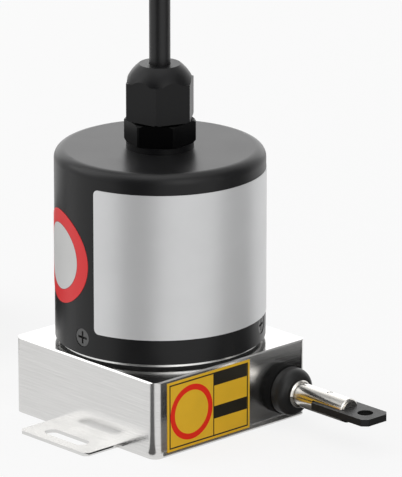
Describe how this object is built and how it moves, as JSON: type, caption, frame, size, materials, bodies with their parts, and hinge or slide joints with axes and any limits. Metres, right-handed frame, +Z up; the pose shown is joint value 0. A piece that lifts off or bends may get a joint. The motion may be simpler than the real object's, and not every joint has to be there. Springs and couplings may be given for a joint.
{
  "type": "draw wire encoder",
  "caption": "Draw wire encoder: a sprung wire drum in a square steel housing turns a round encoder, for measuring linear travel.",
  "frame": {"origin": "on the encoder's vertical axis, at the underside of the base plate", "axes": "+Z up along the encoder's axis; +X is the direction in which the measuring wire is drawn out; the slotted tabs stand out along +Y and -Y"},
  "size_m": [0.2128, 0.083, 0.1665],
  "materials": {
    "stainless_plate": "brushed stainless sheet",
    "screws": "zinc plated screws",
    "gasket": "black rubber sheet",
    "flange": "turned bright aluminium",
    "cover": "satin black anodised cover",
    "cover_screws": "blackened screws",
    "gland": "black moulded nylon",
    "seal": "black rubber",
    "cable": "black cable jacket",
    "bearings": "ground bearing steel",
    "brass_spacers": "plain brass",
    "boards": "green circuit board",
    "electronics": "black moulded components",
    "terminals": "green terminal block",
    "spring": "blued spring steel",
    "bush": "white acetal",
    "boot": "black moulded rubber",
    "silver_label": "satin silver film, left bare",
    "round_sticker": "printed paper with a red rim",
    "yellow_label": "yellow film with plain dark bars and a red ring",
    "ties": "black nylon tie",
    "leads": "coloured insulation",
    "drum": "machined aluminium",
    "wire": "fine stranded stainless wire",
    "disc": "glass code disc",
    "end_tube": "bright nickel plating",
    "eye": "blackened steel"
  },
  "bodies": {
    "encoder_body": {"base_plate": "stainless_plate", "housing": "stainless_plate", "base_screws": "screws", "gasket": "gasket", "encoder_flange": "flange", "flange_screws": "screws", "encoder_cover": "cover", "cover_screws": "cover_screws", "gland_washer": "gland", "gland_body": "gland", "gland_nut": "gland", "gland_locknut": "gland", "gland_seal": "seal", "cable_tail": "cable", "shaft_bearings": "bearings", "bearing_spacer": "flange", "bearing_clip": "screws", "lower_posts": "brass_spacers", "main_board": "boards", "board_parts": "electronics", "sensor_head": "electronics", "lamp_holder": "electronics", "upper_posts": "brass_spacers", "interface_board": "boards", "terminal_block": "terminals", "board_screws": "screws", "spring_arbor": "spring", "mainspring": "spring", "guide_bush": "bush", "wire_boot": "boot", "type_label": "silver_label", "round_sticker": "round_sticker", "face_label": "yellow_label", "cable": "cable", "cable_coil": "cable", "cable_ties": "ties", "lead_wires": "leads"},
    "drum": {"wire_drum": "drum", "drum_screws": "screws", "wire_winding": "wire", "encoder_shaft": "bearings", "disc_hub": "flange", "code_disc": "disc"},
    "wire_end": {"measuring_wire": "wire", "end_tube": "end_tube", "ferrule": "eye", "cross_pin": "screws", "eye_plate": "eye"}
  },
  "joints": [
    {"name": "drum_spin", "type": "hinge", "parent": "encoder_body", "child": "drum", "pos_m": [0, 0, 0.0099], "axis": [0, 0, -1], "range_deg": [0, 2879], "stiffness_Nm_per_rad": 0.0008, "springref_deg": -2864.79},
    {"name": "wire_pull", "type": "slide", "parent": "encoder_body", "child": "wire_end", "axis": [1, 0, 0], "range_m": [0, 1], "deforming": ["measuring_wire"]}
  ],
  "couplings": [
    {"joint": "wire_pull", "follows": "drum_spin", "m_per_rad": 0.0199}
  ]
}
